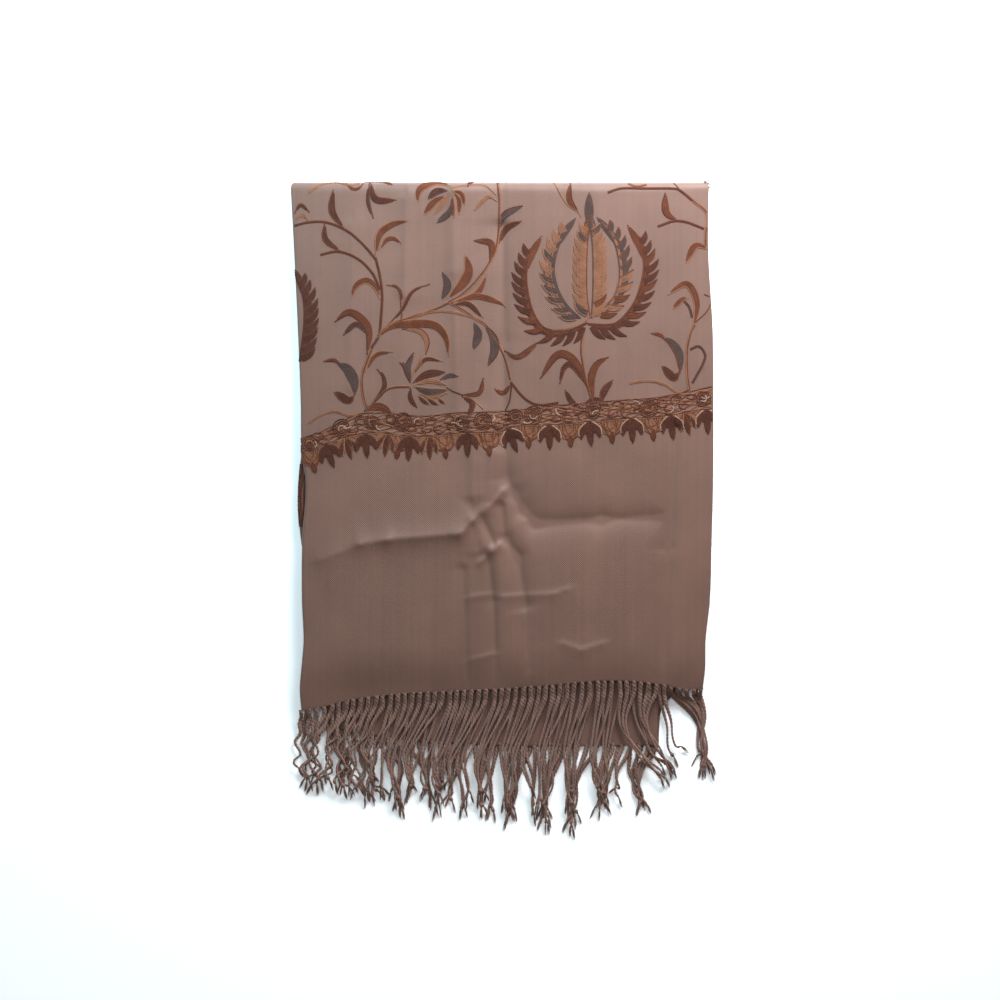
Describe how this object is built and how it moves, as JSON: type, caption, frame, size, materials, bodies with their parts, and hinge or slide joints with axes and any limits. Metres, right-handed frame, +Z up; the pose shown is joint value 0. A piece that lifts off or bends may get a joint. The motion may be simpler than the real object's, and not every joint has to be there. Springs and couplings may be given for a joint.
{
  "type": "embroidered shawl",
  "caption": "Fringed rectangular shawl of brown twill with an embroidered border, lotus and vines, folded once lengthwise and twice across and lying flat",
  "frame": {"origin": "on the table below the middle of the folded shawl's outline, fringes included", "axes": "+Y towards the top fold, away from the fringes; +X from the soft side fold towards the selvedges; +Z up from the table"},
  "size_m": [0.3892, 0.6032, 0.0186],
  "materials": {
    "twill": "brown-beige wool twill",
    "shaded_twill": "the same twill, in the folds",
    "twisted_yarn": "twisted wool yarn"
  },
  "bodies": {
    "root": {"front_panel": "twill", "inner_panel": "shaded_twill", "folded_layers": "shaded_twill", "fringe_front": "twisted_yarn", "fringe_front_under": "twisted_yarn", "fringe_inner": "twisted_yarn", "fringe_inner_under": "twisted_yarn"}
  },
  "joints": []
}
